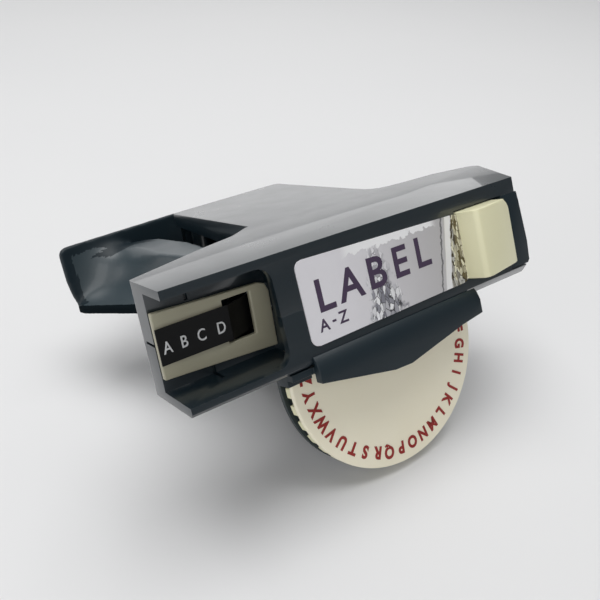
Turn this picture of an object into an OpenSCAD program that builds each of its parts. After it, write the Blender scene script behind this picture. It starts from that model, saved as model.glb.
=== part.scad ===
// Hand-held embossing label maker, lying on its side as it rests on a table.
// The flat side of the T-shaped case faces up, the character dial stands on its rim
// and the end of the handle touches the table.
// All parts are drawn in the case frame: X along the head, Y from the label face
// back along the handle, Z out of the flat side. One module, lying(), rests the whole
// machine on the table with the origin under the middle of its bounding box.

/* [Head] */
// distance from the dial axis to the tape end of the head
head_left = 64.4; // [55:0.1:75]
// distance from the dial axis to the button end of the head
head_right = 52.9; // [45:0.1:60]
// how far the button end flares out toward its rear corner
end_flare = 14.6; // [0:0.1:20]
// thickness of the head
head_h = 29.6; // [25:0.1:36]
// depth of the head at its tape end
left_depth = 16.4; // [12:0.1:22]
// rake of the label face and of the dial
face_tilt = 7.8; // [0:0.1:12]
// wall thickness of the case
wall = 2.2; // [1.6:0.1:3]
// depth of the parting line below the flat side
part_z = 15.2; // [12:0.1:18]

/* [Handle] */
// handle edge on the lever side, from the dial axis
stem_left = 19.9; // [15:0.1:25]
// handle edge on the palm side, from the dial axis
stem_right = 28; // [22:0.1:32]
// length from the label face to the end of the handle
stem_len = 92; // [80:0.5:120]
// how much shorter the handle is on its lever side
rear_slant = 6; // [0:0.5:10]
// length of the flat foot at the end of the handle
foot_len = 8; // [4:0.5:14]

/* [Dial] */
// radius of the character dial
dial_r = 33; // [28:0.1:36]
// number of characters round the dial
characters = 40; // [36:1:44]
// dial axis below the top edge of the label face
dial_drop = 38.25; // [34:0.05:42]
// radius of the dial axle
axle_r = 2.5; // [2:0.1:4]

/* [Tape] */
// width of the embossing tape
tape_w = 9.1; // [6:0.1:12.5]
// outer radius of the tape roll
roll_r = 18.4; // [12:0.1:19]

/* [Trigger] */
// length of the squeeze lever from its pivot
lever_len = 58; // [50:0.5:70]
// thickness of the lever
lever_h = 17.2; // [14:0.1:20]
// radius of the trigger pivot pin
pivot_r = 2.5; // [2:0.1:3.5]

/* [Cutter] */
// width of the cutter button
button_w = 19.2; // [15:0.1:22]
// height of the cutter button
button_h = 19.6; // [16:0.1:22]
// how far the button stands out at its high edge
button_out = 6.9; // [4:0.1:9]

/* [Hidden] */
$fn = 48;

pitch = 18;          // rake of the flat side when the machine rests on dial and handle
rest_x = -1.504;     // puts the origin under the middle of the bounding box
rest_y = -33.087;
// depth of the lowest point of the dial rim below the front top edge
rest_z = 16.9 * sin(pitch + face_tilt) + (dial_drop + 32.8) * cos(pitch + face_tilt);
gap = 0.1;           // overlap used to make cuts clean
run = 0.06;          // running clearance of a turning fit
slip = 0.04;         // clearance of a pin that is held still
tape_t = 0.3;
tape_top = -10.7;    // upper edge of the tape
tape_bot = tape_top - tape_w;
tape_mid = tape_top - tape_w / 2;
tape_y = 12.1;       // tape plane between the dial discs
exit_y = 7.5;        // tape plane on the guide
floor_z = -head_h;
window_x = -36.1;    // handle-side edge of the tape window
guide_y = 8;
guide_right = -32.4;
guide_top = -6.9;
guide_h = 16.8;
slot_l = -46;
slot_r = -38;
roll_x = 4.2;
roll_y = 62;
core_r = 6.5;
post_r = 3;
feed_x = 34.5;
feed_y = 17.9;
feed_r = 5.4;
idler_r = 2.6;
idler_y = 9.2;
pin_r = 1.5;
pivot_x = -14.5;
pivot_y = 30;
coil_r = 3.4;         // return spring, clear of the handle wall
guide_x = 26.9;
guide_post_y = 34.5;
press_x = 17;
press_y = 26;
lever_top = -5.8;
lever_bot = lever_top - lever_h;
lever_cut_end = 81;
chassis_top = -25.7;
chassis_t = 1.2;
disc_front = 9.2;    // front face of the dial behind the label face
fingers_front = 11;
fingers_back = 13;
disc_back = 15.4;
disc_end = 16.9;
back_r = 32.8;
bracket_front = 17.4;
bracket_back = 24.6;
button_x = 26.8;
button_top = -4.7;
button_in = 1.6;
bezel_back = 5.7;
end_bottom = -26.9;
bar_front = 2.7;
bar_t = 1.6;
bar_top = -3.2;
bar_h = 3.6;
blade_x = -30.9;
blade_t = 0.8;
screw_r = 1.6;
screw_x = [44, -42, 22, -13];
screw_y = [25, 19, 85.5, 80.5];
screw_bot = [-head_h, -head_h, -43, -43];

petrol = [0.17, 0.23, 0.27];
cream = [0.85, 0.83, 0.70];
steel = [0.72, 0.73, 0.75];
black = [0.06, 0.06, 0.07];

// ---------- frames ----------
module lying() translate([rest_x, rest_y, rest_z]) rotate([-pitch, 0, 0]) children();
module face() rotate([-face_tilt, 0, 0]) children();
module slab(z0, z1) translate([0, 0, z0]) linear_extrude(z1 - z0) children();
// a drum whose axis runs back from the label face
module drum(y0, y1, r) rotate([-90, 0, 0]) translate([0, 0, y0]) cylinder(r = r, h = y1 - y0);
module at_dial() translate([0, 0, -dial_drop]) children();
module post(x, y, z0, z1, r) translate([x, y, z0]) cylinder(r = r, h = z1 - z0);

module rounded(r) offset(r = r, $fn = 32) offset(delta = -r) children();

// ---------- case outline ----------
module head_plan() rounded(1.2) {
  polygon([[-head_left, -9], [head_right, -9], [head_right, 0],
    [head_right + end_flare, 25.4], [head_right + end_flare - 0.6, 27.6],
    [head_right + end_flare - 2.6, 29], [head_right, 32.8], [45, 33.2], [38.6, 33.6],
    [34.4, 34.2], [31, 35.2],
    [-stem_left - 1, 34.6], [-28.4, 29.4], [-38.6, 26.3], [-head_left, left_depth]]);
}
module stem_plan() rounded(2) {
  polygon([[-stem_left, 20], [stem_right + 3, 20], [stem_right + 3, 35.2],
    [stem_right + 1.2, 37], [stem_right + 0.4, 39.5], [stem_right, 45],
    [stem_right, stem_len], [-stem_left, stem_len - rear_slant]]);
}
module front_cut() face() translate([-100, -40, -80]) cube([200, 40, 120]);
// depth of the table below the flat side, measured square to it
function table(y) = (y * sin(pitch) - rest_z) / cos(pitch);
// the handle gets deeper toward its end and stands on a flat foot
module handle_depth() {
  rotate([90, 0, 90]) translate([0, 0, -70]) linear_extrude(150)
    polygon([[-20, 5], [120, 5], [120, table(120)], [stem_len - foot_len, table(stem_len - foot_len)],
      [36, -head_h], [-20, -head_h]]);
}
module outer_body() {
  difference() {
    intersection() {
      union() {
        slab(floor_z, 0) head_plan();
        slab(-60, 0) stem_plan();
      }
      handle_depth();
    }
    front_cut();
    // bevel along the lower front edge, deeper beside the dial guard
    lower_bevel(-90, 26, 0.9);
    lower_bevel(26, 90, 2.5);
  }
}
module lower_bevel(x0, x1, c) face() rotate([90, 0, 90]) translate([0, 0, x0])
  linear_extrude(x1 - x0) polygon([[-8, floor_z - 0.3 + c + 8], [-8, -60], [c + 8, -60],
    [c + 8, floor_z - 0.3 - 8], [c, floor_z - 0.3], [0, floor_z - 0.3 + c]]);
module inner_depth() {
  rotate([90, 0, 90]) translate([0, 0, -70]) linear_extrude(150)
    polygon([[-20, -wall], [stem_len, -wall], [stem_len, table(stem_len) + wall + 0.4],
      [stem_len - foot_len, table(stem_len - foot_len) + wall + 0.4],
      [38, floor_z + wall], [-20, floor_z + wall]]);
}
module inner_body() {
  difference() {
    intersection() {
      union() {
        slab(-60, 1) offset(delta = -wall) head_plan();
        slab(-60, 1) offset(delta = -wall) stem_plan();
        slab(-60, 1) translate([-stem_left + wall, 18])
          square([stem_left + stem_right - 2 * wall, 26]);
      }
      inner_depth();
    }
    face() translate([-100, -40 + wall, -80]) cube([200, 40, 120]);
    // block behind the tape window
    translate([-head_left - 5, -20, -60]) cube([head_left + 5 + slot_l - 1, 60, 80]);
    translate([-head_left - 5, -20, -60])
      cube([head_left + 5 + guide_right + 0.2, 20 + guide_y + 3.2, 80]);
  }
}
// quarter turn of a rounded corner, as points
function corner(cx, cz, r, a0) =
  [for (i = [0:8]) [cx + r * cos(a0 + i * 11.25), cz + r * sin(a0 + i * 11.25)]];
// tape window open to the front and to the tape end, and the slot behind the guide
module window_cut() {
  low = floor_z + 2.4;
  intersection() {
    translate([-head_left - 5, -20, floor_z + 2.4])
      cube([head_left + 5 + guide_right, 20 + guide_y + 1.6, head_h - 2.4 - wall]);
    union() {
      translate([0, 40, 0]) rotate([90, 0, 0]) linear_extrude(60)
        polygon(concat([[-head_left - 6, -wall + 1], [-head_left - 6, low - 1],
          [window_x - 9, low - 1]], corner(window_x - 4, low + 4, 4, -90),
          corner(window_x - 4, -wall - 4, 4, 0), [[window_x - 9, -wall + 1]]));
      face() translate([-head_left - 5, wall, -60]) cube([100, 60, 80]);
    }
  }
  translate([slot_l + 0.4, guide_y, tape_bot - 1.6])
    cube([guide_right - slot_l, 4, tape_w + 3.2]);
}
module dial_cut() {
  face() at_dial() drum(disc_front - 1.2, disc_end + 0.7, dial_r + 1.6);
}
module button_cut() {
  face() translate([button_x - 0.4, -12, button_top - button_h - 0.4])
    cube([button_w + 1, 18, button_h + 0.8]);
  face() translate([button_x + button_w + 0.4, -12, end_bottom - 0.2])
    cube([20, 18, button_top + 0.4 - end_bottom]);
}
// opening in the lever side of the handle
module lever_cut() {
  translate([-stem_left - 24, 27, lever_bot - 1.6])
    cube([30, lever_cut_end - 27, lever_h - 0.2]);
  translate([-stem_left - 24, lever_cut_end - 1, lever_bot - 1.6])
    cube([26.3, 12, lever_h]);
  translate([0, 0, lever_bot]) rotate([90, 0, 90]) translate([0, 0, -stem_left - 24])
    linear_extrude(26.3) polygon([[46, 0], [stem_len, 0],
      [stem_len, lever_h + 2.3], [46, lever_h - 1.7]]);
  translate([pivot_x, pivot_y, lever_bot - 1.6]) cylinder(r = 9.5, h = lever_h + 2.4);
}
module screw_towers(z0, z1, r) {
  for (i = [0:3]) post(screw_x[i], screw_y[i], z0, z1, r);
}
module shell_base() {
  difference() {
    outer_body();
    inner_body();
    window_cut();
    dial_cut();
    button_cut();
    lever_cut();
  }
}

module upper_shell() color(petrol) lying() {
  difference() {
    union() {
      intersection() {
        shell_base();
        translate([-100, -20, -part_z]) cube([200, 160, 30]);
      }
      for (i = [0:3]) post(screw_x[i], screw_y[i], -part_z, -wall + gap, 3.4);
      post(roll_x, roll_y, -9.6, -wall + gap, 4.6);
      post(pivot_x, pivot_y, lever_top + 0.5, -wall + gap, 4.6);
    }
    for (i = [0:3]) post(screw_x[i], screw_y[i], -part_z - 1, -4, screw_r);
    post(pivot_x, pivot_y, -20, -3, pivot_r + slip);
    post(roll_x, roll_y, -20, -4, post_r + slip);
    post(press_x, press_y, -20, -1.2, 2 + slip);
    post(feed_x, feed_y, -20, -1.2, pin_r + slip);
  }
}

module lower_shell() color(petrol) lying() {
  difference() {
    union() {
      intersection() {
        shell_base();
        translate([-100, -20, -80]) cube([200, 160, 80 - part_z]);
      }
      for (i = [0:1]) post(screw_x[i], screw_y[i], floor_z + 0.5, -part_z, 4.6);
      for (i = [2:3]) post(screw_x[i], screw_y[i], -45.6, -part_z, 4.4);
      post(roll_x, roll_y, -38, -21.6, 5.2);
    }
    for (i = [0:3]) {
      post(screw_x[i], screw_y[i], -60, -part_z + 1, screw_r);
      post(screw_x[i], screw_y[i], -60, screw_bot[i] + 7, 3.1);
    }
    post(roll_x, roll_y, -34, -10, post_r + slip);
  }
}

module dial_guard() color(petrol) lying() face() {
  difference() {
    union() {
      translate([-30.4, 0, 0]) rotate([90, 0, 90]) linear_extrude(59)
        polygon([[-0.02, -27.6], [-0.4, -27.6], [-1.2, -28.7], [-2, -30.8],
          [-2, -42], [0.6, -42], [0.6, -31], [3.4, -31], [3.4, -30.2], [-0.02, -30.2]]);
      translate([-37, 3.4, -33.8]) cube([7.4, 5, 4.2]);
      translate([-37, 0.6, -32]) cube([65.6, 2.8, 1.8]);
    }
    translate([-40, -6, 0]) rotate([-90, 0, 0]) linear_extrude(20)
      polygon([[0, 34.2], [9, 34.2], [33, 39.4], [39, 39.7], [60, 35.8], [71, 34.6],
        [80, 34.6], [80, 60], [0, 60]]);
  }
}

module button_bezel() color(petrol) lying() {
  face() translate([0, bezel_back, 0]) rotate([90, 0, 0]) linear_extrude(bezel_back)
    polygon([[button_x + button_w + 0.5, button_top + 0.2], [head_right + 0.9, button_top + 0.2],
      [head_right + 1.3, -7.4], [head_right + 2.2, -20.2], [head_right + 1.8, end_bottom + 0.8],
      [head_right + 1, end_bottom], [button_x + button_w + 0.5, end_bottom]]);
  face() translate([39, 5, button_top - button_h - 0.3])
    cube([button_x + button_w - 38, bezel_back - 5, button_h + 0.6]);
}

module face_label() color([0.80, 0.80, 0.84]) lying() face() {
  translate([0, -0.25, 0]) rotate([90, 0, 0]) translate([0, 0, -0.25]) linear_extrude(0.3)
    offset(r = 2.2) offset(delta = -2.2)
      polygon([[-29.4, -3.1], [26.2, -4.9], [26.2, -24.6], [-29.4, -25.5]]);
}

module tape_guide() color(cream) lying() difference() {
  translate([0, guide_y + 1.55, 0]) rotate([90, 0, 0]) linear_extrude(1.55)
    polygon([[-head_left + 0.1, guide_top], [-47, guide_top - 0.8], [-35.2, guide_top - 1.2],
      [guide_right - 0.8, guide_top - 2], [guide_right, guide_top - 4], [guide_right, -25.8],
      [-47, -24.8], [-head_left + 0.1, guide_top - guide_h]]);
  translate([slot_l, guide_y - 1, tape_bot - 0.9])
    cube([slot_r - slot_l, 4, tape_w + 2.2]);
}

// ---------- tape path, drawn flat and raised to the tape width ----------
module run_2d(ax, ay, bx, by) {
  translate([ax, ay]) rotate(atan2(by - ay, bx - ax))
    translate([0, -tape_t / 2]) square([norm([bx - ax, by - ay]), tape_t]);
}
module cut_label() color(black) lying() slab(tape_bot, tape_top) {
  run_2d(-head_left, exit_y, slot_l + 1, exit_y);
  run_2d(slot_l + 0.9, exit_y, slot_r + 1, 10.75);
  run_2d(slot_r + 0.9, 10.72, blade_x - 0.6, 11.9);
}
module tape_strip() color(black) lying() slab(tape_bot, tape_top) {
  run_2d(blade_x + blade_t + 0.6, tape_y, feed_x + 0.1, tape_y);
  intersection() {
    translate([feed_x, feed_y]) difference() {
      circle(r = feed_y - tape_y + tape_t / 2);
      circle(r = feed_y - tape_y - tape_t / 2);
    }
    translate([feed_x, feed_y - 12]) square([12, 15.6]);
  }
  run_2d(feed_x + 4.55, feed_y + 3.6, 25.9, 33.8);
  run_2d(25.95, 33.7, roll_x + roll_r + 0.5, 42);
  run_2d(roll_x + roll_r + 0.5, 41.9, roll_x + roll_r + 0.5, roll_y);
}
module tape_roll() color(black) lying() translate([roll_x, roll_y, tape_bot]) {
  difference() {
    cylinder(r = roll_r, h = tape_w);
    translate([0, 0, -1]) cylinder(r = core_r, h = tape_w + 2);
  }
}
module roll_core() color(cream) lying() translate([roll_x, roll_y, tape_bot - 0.6]) {
  difference() {
    union() {
      cylinder(r = core_r - 0.03, h = tape_w + 1.2);
      cylinder(r = core_r + 5, h = 0.5);
    }
    translate([0, 0, -1]) cylinder(r = post_r + run, h = tape_w + 4);
  }
}
module roll_post() color(steel) lying() post(roll_x, roll_y, -33.9, -4.1, post_r);

module chassis_plan() {
  translate([-24, 22.5]) square([64, 10]);
  translate([24, 28]) square([4.4, 8]);
  translate([29.5, 6.2]) square([10.5, 20]);
  translate([pivot_x, pivot_y]) circle(r = 6.5);
}
module chassis_plate() color(steel) lying() {
  difference() {
    slab(chassis_top - chassis_t, chassis_top) difference() {
      intersection() {
        offset(delta = -wall - 0.4) {
          head_plan();
          stem_plan();
        }
        chassis_plan();
      }
      translate([screw_x[0], screw_y[0]]) circle(r = 5);
    }
    face() at_dial() drum(disc_front - 1.2, disc_end + 1.4, dial_r + 1.6);
    post(pivot_x, pivot_y, -30, -20, pivot_r + slip);
    post(press_x, press_y, -30, -20, 2 + slip);
    post(feed_x, feed_y, -30, -20, pin_r + slip);
    post(feed_x, idler_y, -30, -20, 1.2 + slip);
    post(guide_x, guide_post_y, -30, -20, 1 + slip);
  }
}

module feed_wheel() color([0.10, 0.10, 0.10]) lying() translate([feed_x, feed_y, tape_bot - 0.2]) {
  difference() {
    cylinder(r = feed_r, h = tape_w + 0.4);
    translate([0, 0, -1]) cylinder(r = pin_r + run, h = tape_w + 3);
    for (i = [1:3]) translate([0, 0, i * 2.4 - 0.2]) difference() {
      cylinder(r = feed_r + 1, h = 0.6);
      translate([0, 0, -1]) cylinder(r = feed_r - 0.5, h = 3);
    }
  }
}
module ratchet_wheel() color(cream) lying() translate([feed_x, feed_y, tape_bot - 2.4]) {
  difference() {
    cylinder(r = 5.6, h = 2.2);
    translate([0, 0, -1]) cylinder(r = pin_r + run, h = 4);
    for (i = [0:11]) rotate(i * 30) translate([5.6, 0, -1]) rotate(30) cube([2, 1.6, 4]);
  }
}
module feed_pin() color(steel) lying() post(feed_x, feed_y, chassis_top - chassis_t, -1.4, pin_r);
module feed_pawl() color(steel) lying() {
  slab(tape_bot - 1.9, tape_bot - 0.7) {
    run_2d(19.2, 23.4, 27.6, 21.2);
    translate([26.4, 20.4]) square([1.4, 1.2]);
  }
  post(19, 23.4, tape_bot - 1.9, tape_mid - 3.5, 0.9);
}
module idler_roller() color(cream) lying() translate([feed_x, idler_y, tape_bot]) {
  difference() {
    cylinder(r = idler_r, h = tape_w);
    translate([0, 0, -1]) cylinder(r = 1.2 + run, h = tape_w + 2);
  }
}
module idler_pin() color(steel) lying()
  post(feed_x, idler_y, chassis_top - chassis_t, tape_top + 1.6, 1.2);
module guide_post() color(steel) lying()
  post(guide_x, guide_post_y, chassis_top - chassis_t, tape_top + 1.6, 1);

// ---------- dial ----------
module dial_face() color(cream) lying() face() at_dial() difference() {
  drum(disc_front, fingers_front, dial_r);
  drum(0, 30, axle_r + run);
}
module dial_fingers() color(cream) lying() face() at_dial() difference() {
  drum(fingers_front, fingers_back, dial_r - 0.1);
  drum(0, 30, axle_r + run);
  for (i = [0:characters - 1]) rotate([0, (i + 0.5) * 360 / characters, 0])
    translate([20, fingers_front - 1, -1.15]) cube([20, 4, 2.3]);
}
module dial_back() color(petrol) lying() face() at_dial() difference() {
  union() {
    drum(disc_back, disc_end, back_r);
    drum(fingers_back, disc_end, 11);
  }
  drum(0, 30, axle_r + run);
  for (i = [0:characters - 1]) rotate([0, (i + 0.5) * 360 / characters, 0])
    translate([22, disc_back - 1, -0.35]) cube([9, 4, 0.7]);
}
module dial_axle() color(steel) lying() face() at_dial() {
  drum(disc_front - 0.9, bracket_back, axle_r);
  drum(disc_front - 2.1, disc_front - 0.2, 4.2);
}
module dial_bracket() color(petrol) lying() difference() {
  union() {
    face() at_dial() drum(bracket_front, bracket_back, 8.4);
    face() translate([-7.4, bracket_front, -dial_drop]) cube([14.8, 3.8, 9.5]);
    face() translate([-1.2, bracket_front + 3, -dial_drop + 5]) cube([2.4, 4, 4]);
    translate([-9, 14.3, floor_z - 2.2]) cube([18, 11.5, 2.2]);
  }
  face() at_dial() drum(0, 40, axle_r + slip);
  translate([-50, -20, floor_z]) cube([100, 80, 40]);
}
// leaf spring whose tooth holds the dial by friction on its rim
module dial_detent() color(steel) lying() face() {
  tooth = 1.5 * 360 / characters;
  translate([6.6, fingers_front - 1.5, -4.9]) cube([16.4, 2.6, 0.5]);
  translate([21, fingers_front - 1.5, -4.5]) cube([2, 2.6, 3.5]);
  at_dial() rotate([0, tooth, 0]) translate([0, 0, dial_r + 1])
    drum(fingers_front - 1.5, fingers_front - 0.1, 0.8);
}

// ---------- embossing press ----------
module anvil_block() color(steel) lying() face() difference() {
  translate([-4, wall, -19.6]) cube([8, disc_front - wall - 0.8, 10]);
  translate([-6, wall + 3, -17.6]) cube([12, 1.4, 6]);
}
module press_arm() color(steel) lying() difference() {
  union() {
    post(press_x, press_y, tape_mid - 3.5, tape_mid + 3.5, 4.2);
    slab(tape_mid - 3.4, tape_mid + 3.4)
      polygon([[press_x - 0.4, press_y + 3.6], [press_x + 0.6, press_y - 3.8], [2.4, 19.4],
        [1.6, 16.9], [-1.6, 16.9], [-2.4, 19.6], [-6.6, 21], [-6.6, 24.4]]);
  }
  post(press_x, press_y, -40, 10, 2 + run);
}
module press_pin() color(steel) lying()
  post(press_x, press_y, chassis_top - chassis_t, -1.4, 2);

// ---------- trigger ----------
// carries a profile (outward, up) along the lever's outer edge
module along_lever(y0, y1) translate([-35.9, 46.3, 0]) rotate([0, 0, 13])
  rotate([90, 0, 0]) translate([0, 0, -y1]) linear_extrude(y1 - y0) children();
module grip_plan() rounded(1.4) polygon([[-27.6, 43], [-34.2, 42], [-38.8, 45.5],
  [-44, 54.5], [-48.9, 62.7], [-59.5, 80.6], [-59.9, 84], [-40, 88.6], [-31.5, 84.6],
  [-27.4, 79.4], [-25.5, 73.6]]);
module lever_skin() polygon([[16, lever_top], [0.9, lever_top], [0.2, lever_top - 0.3],
  [0, lever_top - 1.2], [0, -10], [0.1, -13], [-0.5, -15.4], [-1.8, -17.4], [-4.2, -19],
  [-8, -19.9], [-14, -20.3], [-30, -20.4], [-30, lever_bot], [16, lever_bot]]);
module lever_hollow() polygon([[24, lever_top - 2], [2.2, lever_top - 2], [2.2, -13.4],
  [1.5, -16.4], [0, -18.8], [-2.4, -20.6], [-2.4, lever_bot + 2], [24, lever_bot + 2]]);
module trigger_lever() color(petrol) lying() {
  difference() {
    union() {
      post(pivot_x, pivot_y, lever_bot + 0.2, lever_top - 0.2, 6.4);
      slab(lever_bot + 0.4, lever_top - 2.4)
        polygon([[pivot_x - 4.2, pivot_y - 4.6], [pivot_x + 3, pivot_y + 5.4],
          [-26.6, 47], [-36, 46.5], [-31, 37]]);
      intersection() {
        along_lever(-8, 52) lever_skin();
        slab(lever_bot, lever_top) grip_plan();
      }
      // nose that drives the press arm
      slab(tape_mid - 3, tape_mid + 3) polygon([[pivot_x, pivot_y - 6],
        [-5.4, 25.4], [-3.6, 25.4], [-3.6, 28], [pivot_x, pivot_y + 6]]);
      // flared end that stops the fingers, with a fillet where it leaves the web
      intersection() {
        slab(lever_bot - 0.3, -1.2) rounded(0.6)
          polygon([[-61.9, 82.35], [-15, 91.9], [-15, 94], [-62.1, 84.45]]);
        translate([0, 100, 0]) rotate([90, 0, 0]) linear_extrude(30) rounded(2.8)
          polygon([[-61.5, -1.2], [-10, -1.2], [-10, -40], [-50, -40], [-57.2, -23.9],
            [-59.2, -20.7], [-60.4, -17], [-61.1, -12.5]]);
      }
      slab(lever_bot + 0.2, lever_top - 0.2) polygon([[-40.6, 70], [-42.6, 75.6], [-45.4, 79.4],
        [-49.6, 81.8], [-55, 83.4], [-38, 87.4], [-34, 80]]);
    }
    post(pivot_x, pivot_y, -40, 10, pivot_r + run);
    // step that passes under the edge of the handle opening
    slab(lever_top - 2.4, 0) polygon([[-23, 40], [-28.9, 84], [-28.9, 89], [-21, 89], [-10, 40]]);
    // the lever is a channel open toward the handle
    intersection() {
      along_lever(3, 60) lever_hollow();
      slab(-40, 0) polygon([[-60, 49], [-10, 49], [-10, 81], [-34, 84.6], [-60, 84]]);
    }
  }
}
module trigger_pin() color(steel) lying()
  post(pivot_x, pivot_y, chassis_top - chassis_t, -3.1, pivot_r);
module ring(r, w) rotate_extrude($fn = 32) translate([r, 0]) circle(r = w, $fn = 14);
module trigger_spring() color(steel) lying() translate([pivot_x, pivot_y, chassis_top]) {
  translate([0, 0, 0.6]) ring(coil_r, 0.42);
  translate([0, 0, 1.4]) ring(coil_r, 0.42);
  translate([-coil_r, 0, 0.6]) cylinder(r = 0.4, h = 0.8, $fn = 16);
  translate([-coil_r, 0, 1.8]) rotate([-90, 0, 28]) cylinder(r = 0.42, h = 12.5, $fn = 16);
}

// ---------- cutter ----------
module cutter_button() color(cream) lying() face() {
  x0 = button_x + 0.2;
  difference() {
    translate([0, 0, button_top - button_h]) linear_extrude(button_h)
      polygon([[x0, button_in], [x0, -1], [x0 + 0.9, -button_out + 0.9], [x0 + 2, -button_out],
        [x0 + 4, -button_out], [x0 + button_w - 2, -3.9], [x0 + button_w - 0.4, -3],
        [x0 + button_w, -1.6], [x0 + button_w, button_in]]);
    translate([x0 + 1.8, -1.4, button_top - button_h + 1.8])
      cube([button_w - 3.6, 10, button_h - 3.6]);
    translate([x0 + 2.6, -4.2, button_top - button_h + 1.8])
      cube([6.4, 10, button_h - 3.6]);
    // rounded top corner at the outer end
    translate([x0 + button_w, 0, button_top]) rotate([0, 45, 0])
      cube([4.6, 50, 4.6], center = true);
  }
}
module cutter_bar() color(steel) lying() face() {
  difference() {
    union() {
      translate([blade_x, bar_front, bar_top - bar_h]) cube([38 - blade_x, bar_t, bar_h]);
      translate([32, bar_front, bar_top - 16]) cube([6, bar_t, 14]);
      translate([32, -1.2, bar_top - 13.5]) cube([6, bar_front + 1.3, 7]);
    }
    translate([35, 0, bar_top - 10]) drum(-5, 10, 0.9);
  }
}
module cutter_blade() color(steel) lying() face()
  rotate([90, 0, 90]) translate([0, 0, blade_x]) linear_extrude(blade_t)
    polygon([[bar_front + bar_t, -3.4], [8.2, -3.4], [10.8, -7], [12.2, -21.4],
      [8, -21.4], [bar_front + bar_t, -8]]);
module button_spring() color(steel) lying() face() {
  for (i = [0:3]) translate([41.5, 4.6 - i * 1.5, -20]) rotate([-90, 0, 0]) ring(1.5, 0.3);
  translate([43, 0.1, -20]) rotate([-90, 0, 0]) cylinder(r = 0.28, h = 4.5, $fn = 16);
}
module case_screws() color(steel) lying() {
  for (i = [0:3]) difference() {
    union() {
      post(screw_x[i], screw_y[i], screw_bot[i] + 5, -4.4, screw_r);
      post(screw_x[i], screw_y[i], screw_bot[i] + 5, screw_bot[i] + 7, 2.9);
    }
    translate([screw_x[i] - 2.2, screw_y[i] - 0.35, screw_bot[i] + 4]) cube([4.4, 0.7, 1.9]);
    translate([screw_x[i] - 0.35, screw_y[i] - 2.2, screw_bot[i] + 4]) cube([0.7, 4.4, 1.9]);
  }
}

upper_shell();
lower_shell();
dial_guard();
button_bezel();
face_label();
tape_guide();
cut_label();
tape_strip();
tape_roll();
roll_core();
roll_post();
chassis_plate();
feed_wheel();
ratchet_wheel();
feed_pin();
feed_pawl();
idler_roller();
idler_pin();
guide_post();
dial_face();
dial_fingers();
dial_back();
dial_axle();
dial_bracket();
dial_detent();
anvil_block();
press_arm();
press_pin();
trigger_lever();
trigger_pin();
trigger_spring();
cutter_button();
cutter_bar();
cutter_blade();
button_spring();
case_screws();
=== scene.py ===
import math
import bpy
import bmesh
from mathutils import Euler, Matrix, Vector, noise


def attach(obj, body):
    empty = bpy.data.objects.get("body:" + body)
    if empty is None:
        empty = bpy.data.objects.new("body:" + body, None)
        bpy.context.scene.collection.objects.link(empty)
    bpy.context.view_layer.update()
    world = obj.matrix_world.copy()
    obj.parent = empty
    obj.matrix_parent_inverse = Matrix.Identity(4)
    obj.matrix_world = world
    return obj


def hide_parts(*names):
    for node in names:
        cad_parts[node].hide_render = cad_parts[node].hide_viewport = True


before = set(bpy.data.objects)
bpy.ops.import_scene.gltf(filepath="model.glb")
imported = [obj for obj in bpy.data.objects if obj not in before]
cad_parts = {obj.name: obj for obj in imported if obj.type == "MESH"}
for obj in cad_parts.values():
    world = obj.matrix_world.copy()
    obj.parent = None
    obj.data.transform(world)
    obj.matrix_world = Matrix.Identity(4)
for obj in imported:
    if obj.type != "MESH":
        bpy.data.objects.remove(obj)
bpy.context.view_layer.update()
scene = bpy.context.scene

# ---------------------------------------------------------------- frames
# Lengths are in mm in the case frame: X along the head, Y back along the handle, Z out of the
# flat side. The face frame is the same, tilted so that Y is square to the label face and the dial.
PITCH = math.radians(18)
TILT = math.radians(7.8)
DIAL_DROP = 38.25                   # dial axis below the flat side, in the face frame
BACK_R, BACK_Y = 32.8, 16.9         # rim of the dial's back disc, which touches the table
REST_X, REST_Y = -1.504, -33.087    # puts the origin under the middle of the part
REST_Z = BACK_Y * math.sin(PITCH + TILT) + (DIAL_DROP + BACK_R) * math.cos(PITCH + TILT)
CASE = (Matrix.Translation((REST_X / 1000, REST_Y / 1000, REST_Z / 1000))
        @ Matrix.Rotation(-PITCH, 4, "X") @ Matrix.Scale(0.001, 4))
FACE = CASE @ Matrix.Rotation(-TILT, 4, "X")
TO_CASE = CASE.inverted()
AT_DIAL = Matrix.Translation((0, 0, -DIAL_DROP))

# ---------------------------------------------------------------- camera
CAMERA_AT = (-119.057, -152.310, 152.315)       # mm from the part's origin
CAMERA_TURN = (57.1872, -1.7911, -36.4849)      # degrees about X, Y and Z
cam = bpy.data.objects.new("camera", bpy.data.cameras.new("camera"))
scene.collection.objects.link(cam)
cam.matrix_world = (Matrix.Translation([c / 1000 for c in CAMERA_AT])
                    @ Euler([math.radians(a) for a in CAMERA_TURN]).to_matrix().to_4x4())
cam.data.sensor_width = 36
cam.data.lens = 42
cam.data.clip_start = 0.01
cam.data.clip_end = 20
scene.camera = cam


# ---------------------------------------------------------------- number helpers
def between(v, start, end):
    """How far v has gone from start to end, held between 0 and 1."""
    return min(max((v - start) / (end - start), 0), 1)


def eased(v, start, end):
    """The same with a soft start and end."""
    t = between(v, start, end)
    return t * t * (3 - 2 * t)


# ---------------------------------------------------------------- mesh helpers
def finish_mesh(bm, name, m=None):
    """Turns a bmesh, moved by a matrix where one is given, into an object."""
    if m is not None:
        bm.transform(m)
    bmesh.ops.recalc_face_normals(bm, faces=bm.faces)
    me = bpy.data.meshes.new(name)
    bm.to_mesh(me)
    bm.free()
    o = bpy.data.objects.new(name, me)
    scene.collection.objects.link(o)
    return o


def settle(o):
    """Applies an object's modifiers."""
    dg = bpy.context.evaluated_depsgraph_get()
    me = bpy.data.meshes.new_from_object(o.evaluated_get(dg))
    o.modifiers.clear()
    o.data = me


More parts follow.
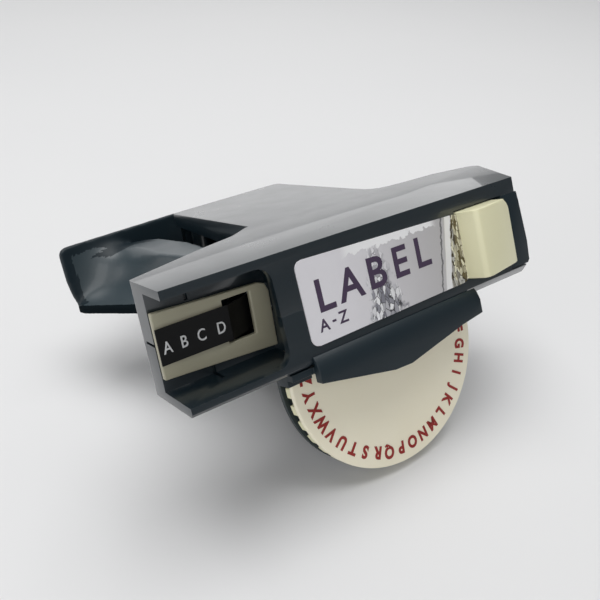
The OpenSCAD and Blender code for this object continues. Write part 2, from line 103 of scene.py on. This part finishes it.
def smooth(o, angle):
    """Smooth shading with sharp edges above an angle in degrees."""
    o.data.shade_smooth()
    o.data.set_sharp_from_angle(angle=math.radians(angle))


def bevel(o, width, segments):
    """Rounds the edges sharper than 35 degrees to a width in mm."""
    b = o.modifiers.new("bevel", "BEVEL")
    b.width = width / 1000
    b.segments = segments
    b.limit_method = "ANGLE"
    b.angle_limit = math.radians(35)


def box(x0, y0, z0, x1, y1, z1):
    """A box between two corners."""
    bm = bmesh.new()
    corners = [(x0, y0), (x1, y0), (x1, y1), (x0, y1)]
    low = [bm.verts.new((x, y, z0)) for x, y in corners]
    high = [bm.verts.new((x, y, z1)) for x, y in corners]
    bm.faces.new(low)
    bm.faces.new(high[::-1])
    for i in range(4):
        j = (i + 1) % 4
        bm.faces.new((low[j], low[i], high[i], high[j]))
    return bm


def revolve(profile, n, m):
    """Turns an (r, y) profile in n steps round the Y axis. Its two ends lie on the axis."""
    bm = bmesh.new()
    rings = []
    for r, y in profile:
        angles = [2 * math.pi * k / n for k in range(n if r else 1)]
        rings.append([bm.verts.new((r * math.cos(a), y, r * math.sin(a))) for a in angles])
    for a, b in zip(rings, rings[1:]):
        for k in range(n):
            j = (k + 1) % n
            if len(a) == 1:
                bm.faces.new((a[0], b[k], b[j]))
            elif len(b) == 1:
                bm.faces.new((a[k], b[0], a[j]))
            else:
                bm.faces.new((a[k], b[k], b[j], a[j]))
    bm.transform(m)
    return bm


def cut(o, tools):
    """Takes the tools away from an object."""
    for t in tools:
        mod = o.modifiers.new("cut", "BOOLEAN")
        mod.solver = "EXACT"
        mod.operation = "DIFFERENCE"
        mod.object = t
    settle(o)
    for t in tools:
        bpy.data.objects.remove(t)


def merge(o):
    """Joins the flat triangles of a surface into whole faces."""
    bm = bmesh.new()
    bm.from_mesh(o.data)
    bmesh.ops.remove_doubles(bm, verts=bm.verts, dist=2e-6)
    bmesh.ops.dissolve_limit(bm, angle_limit=math.radians(0.6), verts=bm.verts,
                             edges=bm.edges, delimit={"NORMAL"})
    bm.to_mesh(o.data)
    bm.free()


def copy_of(node, name):
    """A fresh mesh with the shape of a CAD node."""
    o = bpy.data.objects.new(name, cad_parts[node].data.copy())
    o.data.materials.clear()
    scene.collection.objects.link(o)
    merge(o)
    return o


def place(o, body, mat, nodes=(), angle=30):
    """Gives a piece its material and body, and hides the CAD nodes it stands for."""
    smooth(o, angle)
    o.data.materials.clear()
    o.data.materials.append(mat)
    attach(o, body)
    if nodes:
        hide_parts(*nodes)


# ---------------------------------------------------------------- node helpers
def wire(node, values):
    """Links an input whose value is another node's socket, and sets any other input."""
    for key, value in values.items():
        if isinstance(value, bpy.types.NodeSocket):
            node.id_data.links.new(value, node.inputs[key])
        else:
            node.inputs[key].default_value = value
    return node


def new_node(tree, kind, values):
    """A shader node of one kind with its inputs wired."""
    return wire(tree.nodes.new("ShaderNode" + kind), values)


# Each of the next helpers adds to the node tree of the socket that is its first argument.
def maths(first, operation, *rest):
    """An arithmetic node on its first value and the rest."""
    n = first.id_data.nodes.new("ShaderNodeMath")
    n.operation = operation
    return wire(n, dict(enumerate((first, *rest)))).outputs[0]


def ramp(value, start, end, low=0.0, high=1.0, kind="SMOOTHSTEP"):
    """Goes from low to high while the value goes from start to end."""
    n = value.id_data.nodes.new("ShaderNodeMapRange")
    n.interpolation_type = kind
    return wire(n, {"Value": value, "From Min": start, "From Max": end,
                    "To Min": low, "To Max": high}).outputs["Result"]


def blend(factor, a, b):
    """Colour a where the factor is 0 and colour b where it is 1."""
    n = factor.id_data.nodes.new("ShaderNodeMix")
    n.data_type = "RGBA"
    return wire(n, {0: factor, 6: a, 7: b}).outputs[2]


def noise_at(where, scale, detail):
    """The outputs of a noise with this many features per metre."""
    return new_node(where.id_data, "TexNoise",
                    {"Vector": where, "Scale": scale, "Detail": detail}).outputs


def cells(where, warp, per_x, per_z):
    """Tone and distance to the edge of warped cells, with this many per metre along x and z."""
    tree = where.id_data
    scaled = new_node(tree, "Mapping", {"Vector": where, "Scale": (per_x, 40, per_z)})
    mix = tree.nodes.new("ShaderNodeMix")
    mix.data_type = "RGBA"
    mix.blend_type = "ADD"
    wire(mix, {0: 1.0, 6: scaled.outputs["Vector"], 7: warp})
    tone = new_node(tree, "TexVoronoi", {"Vector": mix.outputs[2], "Scale": 1})
    edge = new_node(tree, "TexVoronoi", {"Vector": mix.outputs[2], "Scale": 1})
    edge.feature = "DISTANCE_TO_EDGE"
    return tone.outputs["Color"], edge.outputs["Distance"]


def lin(r, g, b):
    """Linear colour of an 8-bit display colour."""
    return (*[((c / 255 + 0.055) / 1.055) ** 2.4 if c > 10 else c / 255 / 12.92
              for c in (r, g, b)], 1)


# ---------------------------------------------------------------- materials
def material(name, color, color2, rough, rough2, bump, depth=0.0004, grain=0.0012,
             mottle=0.015, metallic=0.0, coat=0.0, spec=0.5):
    """Procedural surface: two close colours, varied roughness and a fine moulded grain."""
    m = bpy.data.materials.new(name)
    m.use_nodes = True
    where = new_node(m.node_tree, "TexCoord", {}).outputs["Object"]
    patches = noise_at(where, 1 / mottle, 4)["Fac"]
    fine = noise_at(where, 1 / grain, 3)["Fac"]
    relief_node = new_node(m.node_tree, "Bump",
                           {"Strength": bump, "Distance": depth, "Height": fine})
    wire(m.node_tree.nodes["Principled BSDF"], {
        "Base Color": blend(patches, color, color2),
        "Roughness": ramp(patches, 0.3, 0.7, rough, rough2, "LINEAR"),
        "Normal": relief_node.outputs["Normal"],
        "Metallic": metallic, "Coat Weight": coat, "Specular IOR Level": spec})
    return m


petrol = material("petrol_plastic", lin(17, 31, 38), lin(14, 26, 33), 0.27, 0.35, 0.015,
                  coat=0.6, spec=0.85)
petrol_satin = material("petrol_satin", lin(22, 36, 43), lin(18, 31, 38), 0.42, 0.5, 0.02,
                        spec=0.4)
# a lighter, rougher copy of the petrol plastic for the lever: painted light on its web
petrol_lit = material("petrol_lit", lin(44, 59, 65), lin(39, 53, 60), 0.43, 0.5, 0.015,
                       coat=0.12, spec=1.0)
petrol_shade = material("petrol_unlit", lin(16, 24, 28), lin(12, 19, 23), 0.9, 0.97, 0.02,
                        spec=0.05)
cream = material("cream_plastic", lin(232, 229, 194), lin(225, 221, 183), 0.34, 0.44, 0.04)
# the dial's paler cream, made brighter still as painted light on its face
cream_lit = material("cream_dial", lin(250, 244, 222), lin(246, 238, 212), 0.38, 0.46, 0.03)
# a darker copy of the cream: painted shade on the guide plate, deep in the tape window
cream_shaded = material("cream_guide", lin(168, 165, 145), lin(158, 154, 133), 0.3, 0.4, 0.04)
dark = material("dark_disc", lin(40, 50, 52), lin(32, 42, 44), 0.45, 0.55, 0.1)
red = material("letter_red", lin(160, 36, 28), lin(138, 26, 22), 0.45, 0.55, 0.03)
tape_black = material("tape_black", lin(8, 8, 9), lin(12, 12, 13), 0.3, 0.42, 0.04, spec=0.25)
white = material("emboss_white", lin(225, 226, 226), lin(190, 192, 194), 0.5, 0.6, 0.2)
ink = material("violet_ink", lin(74, 58, 82), lin(62, 48, 72), 0.4, 0.5, 0.05)
steel = material("steel", lin(190, 192, 195), lin(170, 172, 176), 0.28, 0.4, 0.08, metallic=1.0)
rubber = material("rubber", lin(24, 24, 25), lin(30, 30, 30), 0.7, 0.8, 0.3)

# The foil is worn at its right end, past a line that leans with z by this much x.
LEAN = 0.21


def foil_material():
    """Worn metallised sheet: pale satin with painted shade to the right, a torn bright strip, and
    a creased fan and a bare end with painted shade and reflections. Places are in mm in the face
    frame, and ragged noise breaks up each outline."""
    m = material("foil", lin(240, 238, 242), lin(230, 228, 233), 0.3, 0.44, 0.06,
                 depth=0.0002, grain=0.0007, mottle=0.008)
    shader = m.node_tree.nodes["Principled BSDF"]
    satin = shader.inputs["Base Color"].links[0].from_socket
    rough = shader.inputs["Roughness"].links[0].from_socket
    where = new_node(m.node_tree, "TexCoord", {}).outputs["Object"]
    axes = new_node(m.node_tree, "SeparateXYZ", {0: where}).outputs
    x = maths(axes[0], "MULTIPLY", 1000.0)
    z = maths(axes[2], "MULTIPLY", 1000.0)
    ragged = noise_at(where, 520, 5)
    rag = ragged["Fac"]
    lean = maths(z, "MULTIPLY_ADD", -LEAN, x)

    # painted shade: the satin darkens from left to right, as the light falls off away from the
    # left
    color = blend(maths(ramp(x, -24.0, 24.0), "MULTIPLY", 0.8), satin, lin(182, 180, 180))

    # torn strip along the upper edge
    torn = ramp(maths(rag, "MULTIPLY_ADD", 4.4, z), -4.2, -3.95)
    torn = maths(torn, "MULTIPLY", ramp(x, -16.0, -12.5))
    torn = maths(torn, "MULTIPLY", ramp(x, 19.0, 16.0))
    color = blend(torn, color, lin(252, 252, 253))

    # white band beside the bare end, with painted shade along a crease on its left
    band = maths(ramp(lean, 23.0, 23.4), "MULTIPLY", ramp(lean, 25.9, 25.2))
    color = blend(maths(band, "MULTIPLY", 0.8), color, lin(252, 252, 252))
    to_crease = maths(maths(rag, "MULTIPLY_ADD", 1.6, lean), "SUBTRACT", 22.6)
    crease = ramp(maths(to_crease, "ABSOLUTE"), 0.4, 0.12)
    color = blend(maths(crease, "MULTIPLY", 0.75), color, lin(62, 62, 64))

    # creased fan below the middle, wider and stronger further down: painted shade in the cracks
    # and painted reflections on the facets, grey to white
    half_width = maths(z, "MULTIPLY_ADD", -0.2, 0.9)
    aside = maths(maths(maths(z, "MULTIPLY_ADD", 0.06, x), "ADD", 5.3), "ABSOLUTE")
    fan = maths(rag, "MULTIPLY_ADD", 1.9, maths(aside, "DIVIDE", half_width))
    fan = maths(ramp(fan, 2.2, 1.5), "MULTIPLY", ramp(z, -5.4, -7.8))
    strength = maths(ramp(z, -11.0, -19.0), "MULTIPLY_ADD", 0.45, 0.5)
    tone, edge = cells(where, ragged["Color"], 1000, 400)
    creased = blend(ramp(tone, 0.25, 0.8), lin(128, 128, 138), lin(250, 250, 252))
    creased = blend(ramp(edge, 0.07, 0.02), creased, lin(48, 48, 54))
    color = blend(maths(fan, "MULTIPLY", strength), color, creased)

    # bare end, more metallic and smoother: long facets with painted reflections, bright and brown,
    # and painted shade along their edges
    bare = ramp(maths(rag, "MULTIPLY_ADD", 1.2, lean), 25.9, 26.3)
    tone, edge = cells(where, ragged["Color"], 1150, 430)
    facets = blend(ramp(tone, 0.25, 0.7), lin(112, 102, 80), lin(252, 250, 240))
    facets = blend(ramp(edge, 0.06, 0.01), facets, lin(92, 86, 72))
    wire(shader, {
        "Base Color": blend(bare, color, facets),
        "Metallic": maths(bare, "MULTIPLY_ADD", 0.5, 0.2),
        "Roughness": maths(rough, "MULTIPLY", maths(bare, "MULTIPLY_ADD", -0.55, 1.0))})
    return m


foil = foil_material()


# ---------------------------------------------------------------- pieces that follow the CAD
def refine(node, name, body, mat, width, segments, cuts=()):
    """A CAD node with the given boxes cut out of it and its edges rounded."""
    o = copy_of(node, name)
    if cuts:
        cut(o, [finish_mesh(box(*corners), "cutter", CASE) for corners in cuts])
        merge(o)
    bevel(o, width, segments)
    settle(o)
    place(o, body, mat, (node,), angle=38)
    return o


GAP_X = -50.4                                           # gap in the window's back wall
SEAM = (-66, 8.6, -15.55, -63.6, 14.2, -14.85)          # open joint in the tape end's wall
case_top = refine("upper_shell", "case_top", "case", petrol, 0.5, 3, cuts=[
    (GAP_X - 4.4, 9.1, -6.9, GAP_X - 3.4, 10.6, -2.0),
    SEAM])
case_bottom = refine("lower_shell", "case_bottom", "case", petrol, 0.5, 3, cuts=[
    (GAP_X - 0.9, 9.1, -27.9, GAP_X + 0.1, 10.6, -23.0),
    (GAP_X - 0.9, 5.2, -27.9, GAP_X + 0.1, 9.9, -26.6),
    SEAM])


WALL_END_X = (-18.2, -17.2)
WALL_END_Y = (83.5, 92.2)
WALL_END_TOP = -2


def shade_wall_end(shell):
    """Paints shade on the inner end of the handle wall, behind the lever, with the dark matt
    petrol.
    """
    shell.data.materials.append(petrol_shade)
    for f in shell.data.polygons:
        x, y, z = TO_CASE @ f.center
        if (WALL_END_X[0] < x < WALL_END_X[1] and WALL_END_Y[0] < y < WALL_END_Y[1]
                and z < WALL_END_TOP):
            f.material_index = 1


# painted shade on the wall's inner end, in both shells
shade_wall_end(case_top)
shade_wall_end(case_bottom)
refine("dial_guard", "guard", "case", petrol_satin, 0.6, 3)
refine("button_bezel", "button_housing", "case", petrol_satin, 0.45, 3)
refine("tape_guide", "guide_plate", "case", cream_shaded, 0.35, 3)

# ---------------------------------------------------------------- lever
# the lever's petrol in three copies: painted light on the web, painted shade on the lip's edge and
# the rim
LEVER_LIT_AND_SHADED = (petrol_lit, petrol_shade, petrol_satin)
SHADED_LIP, SHADED_RIM = 1, 2                # faces with painted shade, in the second and third material
FLARE_Y, FLARE_X = 90, -20          # the flared end's tip lies past both
TIP_REACH = (0.4, 0.08)             # shift of the tip along X and Y for each mm past FLARE_X


def past_lip(p):
    """How far a point is outside the slanting edge of the lower lip."""
    return -(p.x + 44) * 0.86 - (p.y - 54.5) * 0.51


def scoop_weight(p):
    """1 inside the scoop: in front of the flared end, outside the web and above the lip."""
    weight = between(p.y, 60, 72) * between(83.6 + (p.x + 60) * 0.2 - p.y, 0, 1.5)
    weight *= between(p.x, -38, -42) * between(p.x, -60.2, -57.2)
    weight *= between(p.z, -1.8, -4.8) * between(p.z, -22, -20.5)
    return weight * between(past_lip(p), -1, -4)


def on_rim(p, normal):
    """Whether a face is on the flared end's rim or its back."""
    top = -4.4 - max(0, p.x + 50) * 0.4
    side = -57.6 - (p.z + 8) * 0.06
    return p.y > 81 and (p.z > top or p.x < side or normal.y > -0.3)


def make_lever():
    """One soft moulding: its web runs into the flared end and the lower lip in wide fillets."""
    o = copy_of("trigger_lever", "lever")
    remesh = o.modifiers.new("remesh", "REMESH")
    remesh.mode = "VOXEL"
    remesh.voxel_size = 0.00045
    settle(o)
    scoop = o.vertex_groups.new(name="scoop")
    for v in o.data.vertices:
        p = TO_CASE @ v.co
        scoop.add([v.index], scoop_weight(p), "REPLACE")
        if p.y > FLARE_Y and p.x > FLARE_X:     # the tip reaches past the gap beside the handle
            shift = [reach * (p.x - FLARE_X) for reach in TIP_REACH]
            v.co += CASE.to_3x3() @ Vector((*shift, 0))
    # painted shade: the lip's edge and the rim take darker copies of the plastic
    for mat in LEVER_LIT_AND_SHADED:
        o.data.materials.append(mat)
    for f in o.data.polygons:
        p = TO_CASE @ f.center
        if past_lip(p) > -0.9 and p.z < -19.6:
            f.material_index = SHADED_LIP
        elif on_rim(p, TO_CASE.to_3x3() @ f.normal):
            f.material_index = SHADED_RIM
    fillets = o.modifiers.new("fillets", "SMOOTH")
    fillets.vertex_group = "scoop"
    fillets.factor = 0.9
    fillets.iterations = 900
    soften = o.modifiers.new("soften", "SMOOTH")
    soften.factor = 0.5
    soften.iterations = 16
    thin = o.modifiers.new("thin", "DECIMATE")
    thin.ratio = 0.4
    settle(o)
    smooth(o, 60)
    return o


lever = make_lever()
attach(lever, "trigger")
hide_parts("trigger_lever")

# ---------------------------------------------------------------- button and dial
refine("cutter_button", "button", "cutter", cream, 1.0, 5)
refine("dial_fingers", "dial_finger_ring", "dial", cream, 0.15, 2)
refine("dial_back", "dial_back_disc", "dial", dark, 0.25, 2)

DISC_R, DISC_FRONT, DISC_BACK = 33, 9.2, 11
BORE_R = 2.56
disc = finish_mesh(revolve([
    (0, DISC_FRONT), (DISC_R - 0.5, DISC_FRONT), (DISC_R - 0.15, DISC_FRONT + 0.1),
    (DISC_R, DISC_FRONT + 0.4), (DISC_R, DISC_BACK - 0.3), (DISC_R - 0.2, DISC_BACK),
    (0, DISC_BACK)], 200, AT_DIAL), "dial_disc", FACE)
bore = finish_mesh(revolve([
    (0, DISC_FRONT - 1.2), (BORE_R, DISC_FRONT - 1.2), (BORE_R, DISC_BACK + 1),
    (0, DISC_BACK + 1)], 48, AT_DIAL), "cutter", FACE)
cut(disc, [bore])
place(disc, "dial", cream_lit, ("dial_face",), 40)


# ---------------------------------------------------------------- lettering
STAND = Matrix.Rotation(math.pi / 2, 4, "X")    # XY plane to the plane that faces -Y
CAP_HEIGHT = 0.7                                # of the built-in font, for a size of 1


def letter(ch, height, bold, depth, stretch=1.0):
    """A raised character in the XY plane, centred. Height, boldness and depth are in mm."""
    c = bpy.data.curves.new("ch", "FONT")
    c.body = ch
    c.align_x = "CENTER"
    c.align_y = "CENTER"
    c.size = height / CAP_HEIGHT
    c.offset = bold
    c.extrude = depth
    c.bevel_depth = depth * 0.25
    c.resolution_u = 4
    o = bpy.data.objects.new("ch", c)
    scene.collection.objects.link(o)
    settled = bpy.data.meshes.new_from_object(
        o.evaluated_get(bpy.context.evaluated_depsgraph_get()))
    bpy.data.objects.remove(o)
    bm = bmesh.new()
    bm.from_mesh(settled)
    bpy.data.meshes.remove(settled)
    middle = [(min(v.co[i] for v in bm.verts) + max(v.co[i] for v in bm.verts)) / 2
              for i in (0, 1)]
    bm.transform(Matrix.Diagonal((stretch, 1, 1, 1))
                 @ Matrix.Translation((-middle[0], -middle[1], 0)))
    return bm


def join(parts, name, m):
    """One mesh from (bmesh, matrix) pairs."""
    whole = bmesh.new()
    for bm, t in parts:
        bm.transform(t)
        me = bpy.data.meshes.new("part")
        bm.to_mesh(me)
        bm.free()
        whole.from_mesh(me)
        bpy.data.meshes.remove(me)
    return finish_mesh(whole, name, m)


RING = "ABCDEFGHIJKLMNOPQRSTUVWXYZ0123456789-&/."
RING_R = 28.6                       # radius of the characters' middles
RING_Y = DISC_FRONT - 0.03
RING_START = -39.9                  # degrees clockwise from 3 o'clock


def dial_characters():
    parts = []
    for i, ch in enumerate(RING):
        clock = math.radians(i * 360 / len(RING) + RING_START)
        x, z = RING_R * math.cos(clock), -RING_R * math.sin(clock)
        spin = (Matrix.Rotation(clock - math.pi / 2, 4, "Y")
                @ Matrix.Rotation(math.pi, 4, "Y"))
        parts.append((letter(ch, 3.45, 0.2, 0.06, 0.86),
                      Matrix.Translation((x, RING_Y, z - DIAL_DROP)) @ spin @ STAND))
    return join(parts, "dial_characters", FACE)


place(dial_characters(), "dial", red)

# ---------------------------------------------------------------- CAD nodes that stay
for mat, nodes in (
        (tape_black, ("tape_strip", "tape_roll")),
        (cream, ("roll_core", "ratchet_wheel", "idler_roller")),
        (rubber, ("feed_wheel",)),
        (petrol, ("dial_bracket",)),
        (steel, ("roll_post", "chassis_plate", "feed_pin", "feed_pawl", "idler_pin",
                 "guide_post", "dial_axle", "dial_detent", "anvil_block", "press_arm",
                 "press_pin", "trigger_pin", "trigger_spring", "cutter_bar", "cutter_blade",
                 "button_spring", "case_screws"))):
    for node in nodes:
        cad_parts[node].data.materials.clear()
        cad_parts[node].data.materials.append(mat)

# ---------------------------------------------------------------- tape in the window
TAPE_FRONT, TAPE_MIDDLE = 7.3, -15.6
refine("cut_label", "label_strip", "case", tape_black, 0.05, 1)
place(join([(letter(ch, 3.0, -0.03, 0.16, 0.8),
             Matrix.Translation((x, TAPE_FRONT, TAPE_MIDDLE)) @ STAND)
            for ch, x in (("A", -62.2), ("B", -57.8), ("C", -53.2), ("D", -47.7))],
           "embossed_characters", CASE), "case", white)

# ---------------------------------------------------------------- foil label
FOIL_Y = -0.3                       # front of the flat foil
FOIL_BACK = -0.02
PRINT_LIFT = 0.02                   # middle of the print's thickness in front of the foil
FOIL_LEFT, FOIL_LENGTH = -29.5, 57.1
FOIL_TOP, FOIL_TOP_FALL = -3.3, 1.8         # upper edge at the left, and its fall to the right
FOIL_FOOT, FOIL_FOOT_RISE = -25.6, 0.7      # the same for the lower edge, which rises
FOIL_WIDTH = 21                     # on average, for the corners
CORNER_R = 2.3
FOIL_STEPS = (190, 70)              # faces along and across


def crumple(x, z):
    """How creased the foil is, from 0 to 1: a fan below the middle and the worn right end."""
    aside = abs(x + 4.6 + 0.06 * (z + 16)) / (2.4 - 0.17 * (z + 7))
    fan = (1 - eased(aside, 0.55, 1.0)) * eased(z, -5.5, -8.5)
    end = eased(x - 24.4 - (z + 4.6) * LEAN, -0.6, 0.5)
    return max(fan, end)


def relief(x, z):
    """Height of the foil above its flat state: slow waves, crumpled flakes and one ridge."""
    h = 0.03 * noise.noise(Vector((x * 0.12, z * 0.16, 3.0)))
    creased = crumple(x, z)
    if creased > 0.001:
        large = noise.voronoi(Vector((x * 0.55 + z * 0.03, z * 0.3, 5.0)))[0][0]
        small = noise.voronoi(Vector((x * 1.3, z * 0.9, 9.0)))[0][0]
        h += creased * (0.32 * min(large, 1.0) + 0.1 * min(small, 1.0) - 0.1)
    wander = 0.5 * noise.noise(Vector((z * 0.3, 1.0, 2.0)))
    from_ridge = abs(x - 19.6 - (z + 15) * 0.2 - wander)
    return h + 0.16 * max(0, 1 - from_ridge / 0.7)


def foil_y(x, z):
    """Front of the creased foil. Its relief is held between two limits."""
    return FOIL_Y - max(min(relief(x, z), 0.34), -0.08)


def foil_row(v):
    """The (x, z) points of one row of the foil, from 0 at the upper edge to 1 at the lower."""
    to_edge = min(v, 1 - v) * FOIL_WIDTH
    inset = CORNER_R - math.sqrt(CORNER_R ** 2 - max(CORNER_R - to_edge, 0) ** 2)
    row = []
    for i in range(FOIL_STEPS[0] + 1):
        x = FOIL_LEFT + inset + (FOIL_LENGTH - 2 * inset) * (i / FOIL_STEPS[0])
        w = (x - FOIL_LEFT) / FOIL_LENGTH
        top = FOIL_TOP - FOIL_TOP_FALL * w
        foot = FOIL_FOOT + FOIL_FOOT_RISE * w
        row.append((x, top * (1 - v) + foot * v))
    return row


def foil_sheet():
    """The foil with its relief in front and a flat back."""
    bm = bmesh.new()
    rows = [foil_row(j / FOIL_STEPS[1]) for j in range(FOIL_STEPS[1] + 1)]
    front = [[bm.verts.new((x, foil_y(x, z), z)) for x, z in row] for row in rows]
    for a, b in zip(front, front[1:]):
        for i in range(FOIL_STEPS[0]):
            bm.faces.new((a[i], a[i + 1], b[i + 1], b[i]))
    out = bmesh.ops.extrude_edge_only(bm, edges=[e for e in bm.edges if e.is_boundary])
    for v in out["geom"]:
        if isinstance(v, bmesh.types.BMVert):
            v.co.y = FOIL_BACK
    bmesh.ops.holes_fill(bm, edges=[e for e in bm.edges if e.is_boundary])
    bm.transform(Matrix.Scale(0.001, 4))
    return bm


# the foil's own coordinates are the face frame in metres, which its material reads
foil_plate = finish_mesh(foil_sheet(), "foil_label")
foil_plate.matrix_world = FACE @ Matrix.Scale(1000, 4)
place(foil_plate, "case", foil, ("face_label",))


def printed(ch, height, x, z, bold):
    """Flat print that follows the foil."""
    bm = letter(ch, height, bold, 0.015)
    bm.transform(Matrix.Translation((x, 0, z)) @ STAND)
    bmesh.ops.triangulate(bm, faces=bm.faces)
    for _ in range(4):
        far = [e for e in bm.edges if e.calc_length() > 0.6]
        if far:
            bmesh.ops.subdivide_edges(bm, edges=far, cuts=1)
            bmesh.ops.triangulate(bm, faces=bm.faces)
    for v in bm.verts:
        v.co.y += foil_y(v.co.x, v.co.z) - PRINT_LIFT
    return bm, Matrix.Identity(4)


big = [printed(c, 8.2, x, z, 0.22) for c, x, z in (
    ("L", -22.4, -13.5), ("A", -14.2, -13.2), ("B", -5.0, -12.8), ("E", 3.6, -12.4),
    ("L", 12.0, -12.0))]
small = [printed(c, 3.1, x, z, 0.08) for c, x, z in (
    ("A", -24.8, -20.9), ("-", -21.6, -20.8), ("Z", -18.6, -20.7))]
place(join(big + small, "label_print", FACE), "case", ink)


# ---------------------------------------------------------------- stage
def make_floor():
    """A flat pale floor, 8 by 9 metres."""
    bm = bmesh.new()
    rows = [[bm.verts.new((x, y, 0)) for x in (-4, 4)] for y in (-3, 0, 3, 6)]
    for a, b in zip(rows, rows[1:]):
        bm.faces.new((a[0], a[1], b[1], b[0]))
    return finish_mesh(bm, "floor")


floor = make_floor()
floor.data.materials.append(material("paper", lin(228, 228, 228), lin(224, 224, 225),
                                     0.85, 0.95, 0.02, mottle=0.3))


def area(name, loc, target, size, radiance):
    """A soft panel whose face has the given radiance."""
    lamp = bpy.data.lights.new(name, "AREA")
    lamp.shape = "RECTANGLE"
    lamp.size, lamp.size_y = size
    lamp.energy = radiance * math.pi * size[0] * size[1]
    o = bpy.data.objects.new(name, lamp)
    o.location = loc
    o.rotation_mode = "QUATERNION"
    o.rotation_quaternion = (Vector(target) - Vector(loc)).to_track_quat("-Z", "Y")
    o.visible_camera = False
    scene.collection.objects.link(o)


area("rear", (0.28, 1.7, 0.42), (0, 0, 0.05), (3.2, 1.0), 1.12)
area("top", (0.05, 0.1, 1.2), (0, 0, 0.03), (1.1, 0.9), 3.8)
area("left", (-1.2, -0.05, 0.3), (0, 0, 0.04), (0.6, 0.5), 3.0)
area("front_left", (-0.8, -1.1, 0.9), (0, 0, 0.03), (0.8, 0.8), 2.7)
area("right", (1.3, 0.9, 0.8), (0.3, 0.3, 0), (0.6, 0.6), 1.2)


def studio():
    """Weak pale light from all round, in front of a brighter backdrop of the same colour."""
    sky = (0.97, 0.985, 1, 1)
    world = bpy.data.worlds.new("studio")
    world.use_nodes = True
    tree = world.node_tree
    light = wire(tree.nodes["Background"], {"Color": sky, "Strength": 0.17})
    backdrop = new_node(tree, "Background", {"Color": sky, "Strength": 0.72})
    seen = new_node(tree, "LightPath", {}).outputs["Is Camera Ray"]
    both = new_node(tree, "MixShader", {0: seen, 1: light.outputs[0], 2: backdrop.outputs[0]})
    wire(tree.nodes["World Output"], {0: both.outputs[0]})
    return world


scene.world = studio()
scene.view_settings.view_transform = "Standard"
